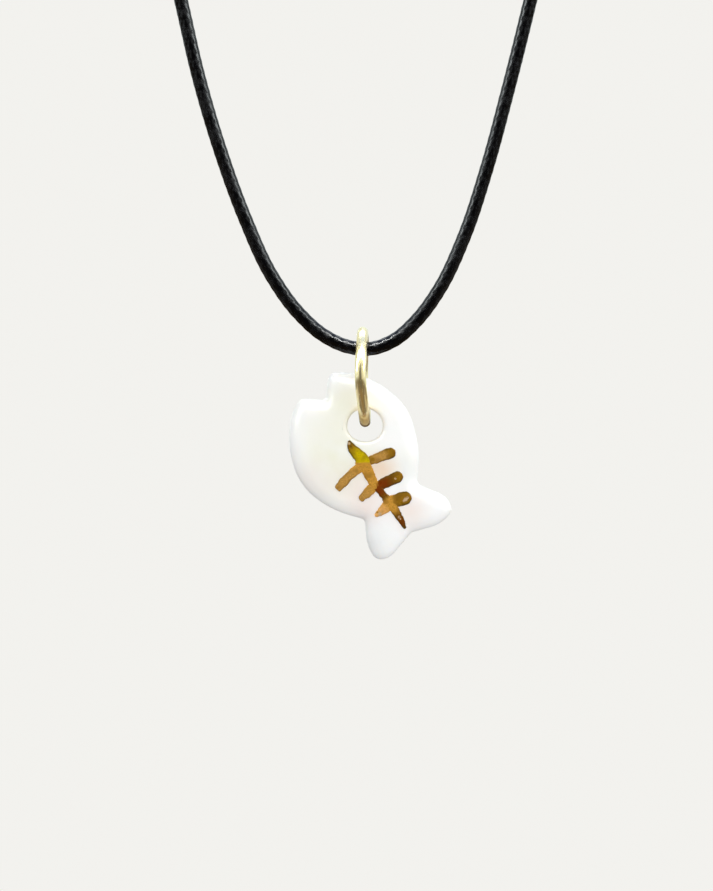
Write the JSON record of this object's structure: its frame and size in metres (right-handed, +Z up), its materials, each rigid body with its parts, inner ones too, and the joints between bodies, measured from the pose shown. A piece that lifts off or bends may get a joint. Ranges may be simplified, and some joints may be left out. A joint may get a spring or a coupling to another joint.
{
  "type": "porcelain fish charm necklace",
  "caption": "Small white porcelain fish with a painted gold fishbone, hung by its eye from a metal ring on a black waxed cord necklace with a plain clasp.",
  "frame": {"origin": "where the closed necklace hangs: under the middle of the clasp, at the back of the neck", "axes": "+Z up; +X to the right of the painted face; the painted face looks along -Y; the cord's loop lies in the XZ plane"},
  "size_m": [0.0806, 0.0106, 0.185],
  "materials": {
    "porcelain": "glossy white glaze over a soft, pillowy body",
    "gold_lustre": "mottled gold and brown lustre, brushed on over the glaze",
    "pale_gold": "polished pale gold plating",
    "waxed_cord": "black braided cotton with a glossy wax",
    "clasp_metal": "satin pale gold plating"
  },
  "bodies": {
    "necklace": {"cord": "waxed_cord", "clasp": "clasp_metal"},
    "ring": {"jump_ring": "pale_gold"},
    "charm": {"fish_charm": "porcelain"}
  },
  "joints": [
    {"name": "ring_swing", "type": "hinge", "parent": "necklace", "child": "ring", "pos_m": [0.00088, 0, -0.158], "axis": [1, 0, 0], "range_deg": [-90, 90]},
    {"name": "charm_swing", "type": "hinge", "parent": "ring", "child": "charm", "pos_m": [0.001, 0, -0.16585], "axis": [0, 1, 0], "range_deg": [-90, 45]}
  ]
}
